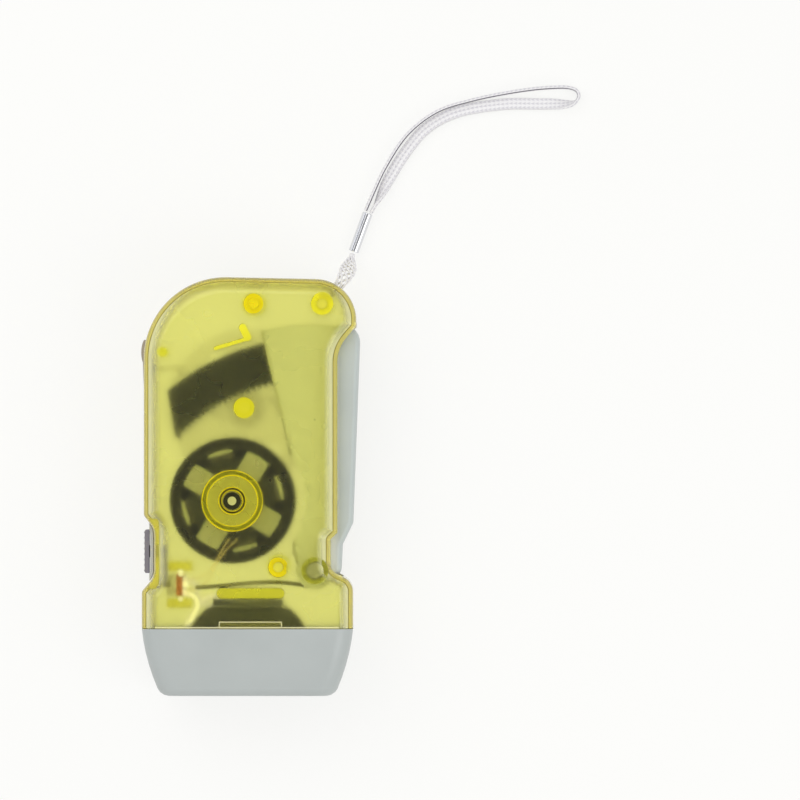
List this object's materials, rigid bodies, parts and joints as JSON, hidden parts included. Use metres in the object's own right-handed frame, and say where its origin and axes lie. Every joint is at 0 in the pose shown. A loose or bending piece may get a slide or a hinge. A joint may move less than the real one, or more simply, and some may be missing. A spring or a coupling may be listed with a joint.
{
  "type": "hand crank flashlight",
  "caption": "Pocket dynamo flashlight: a squeeze lever turns a flywheel generator inside a translucent case, with an LED head and a wrist strap.",
  "frame": {"origin": "bottom centre of the flashlight without its strap, on the surface it lies on", "axes": "+Z out of the front face, +Y towards the strap end, -Y out of the lamp end, +X towards the squeeze lever"},
  "size_m": [0.1104, 0.1539, 0.029],
  "materials": {
    "yellow_shell": "translucent yellow plastic, frosted inside",
    "grey_plastic": "satin light grey plastic",
    "dark_plastic": "dark moulded plastic",
    "white_plastic": "natural white plastic",
    "black_rubber": "black rubber",
    "steel": "plain steel",
    "dark_steel": "darkened steel",
    "magnet": "sintered magnet",
    "brass": "brass",
    "copper": "enamelled copper wire",
    "chrome": "bright metal coating",
    "clear": "clear plastic",
    "board_brown": "brown circuit board",
    "board_green": "green circuit board",
    "cream_wire": "cream wire sleeve",
    "knob_grey": "mid-grey plastic",
    "lock_grey": "warm grey plastic",
    "strap_white": "white knitted polyester"
  },
  "bodies": {
    "case": {"front_shell": "yellow_shell", "rear_shell": "yellow_shell", "case_screw_1": "steel", "case_screw_2": "steel", "case_screw_3": "steel", "head_bezel": "grey_plastic", "lens": "clear", "reflector": "chrome", "led_board": "board_green", "led_1": "clear", "led_2": "clear", "led_3": "clear", "return_spring": "steel", "lever_pivot_pin": "steel", "gear_axle": "steel", "rear_bush": "brass", "front_bush": "black_rubber", "stator_front_plate": "steel", "stator_rear_plate": "steel", "stator_core": "dark_steel", "coil_bobbin": "white_plastic", "coil_winding": "copper", "switch_plate": "grey_plastic", "switch_body": "black_rubber", "switch_board": "board_brown", "coil_lead_1": "copper", "coil_lead_2": "copper", "lamp_wire_1": "cream_wire", "lamp_wire_2": "cream_wire", "strap_string": "strap_white", "strap_crimp": "chrome", "wrist_strap": "strap_white"},
    "lever": {"lever": "grey_plastic", "sector_gear": "dark_plastic", "sector_screw_1": "steel", "sector_screw_2": "steel"},
    "gear": {"drive_gear": "white_plastic", "drive_pinion": "white_plastic", "clutch_pawl_1": "dark_plastic", "clutch_pawl_2": "dark_plastic"},
    "flywheel": {"flywheel_cup": "dark_steel", "ring_magnet": "magnet", "flywheel_shaft": "steel", "flywheel_pinion": "brass"},
    "switch_knob": {"switch_knob": "knob_grey"},
    "lock_slider": {"lock_slider": "lock_grey"}
  },
  "joints": [
    {"name": "flywheel_spin", "type": "hinge", "parent": "case", "child": "flywheel", "pos_m": [-0.00452, -0.00356, 0], "axis": [0, 0, 1], "range_deg": [-133.5, 1069.5]},
    {"name": "lever_hinge", "type": "hinge", "parent": "case", "child": "lever", "pos_m": [0.0162, -0.02104, 0], "axis": [0, 0, 1], "range_deg": [-16, 2]},
    {"name": "gear_spin", "type": "hinge", "parent": "case", "child": "gear", "pos_m": [-0.00158, 0.01976, 0], "axis": [0, 0, 1], "range_deg": [-219.5, 27.5]},
    {"name": "switch_slide", "type": "slide", "parent": "case", "child": "switch_knob", "axis": [0, 1, 0], "range_m": [-0.001, 0.001]},
    {"name": "lock_slide", "type": "slide", "parent": "case", "child": "lock_slider", "axis": [0, 1, 0], "range_m": [0, 0.0015]}
  ],
  "couplings": [
    {"joint": "lever_hinge", "follows": "flywheel_spin", "ratio": -0.014957},
    {"joint": "gear_spin", "follows": "flywheel_spin", "ratio": -0.20513}
  ]
}
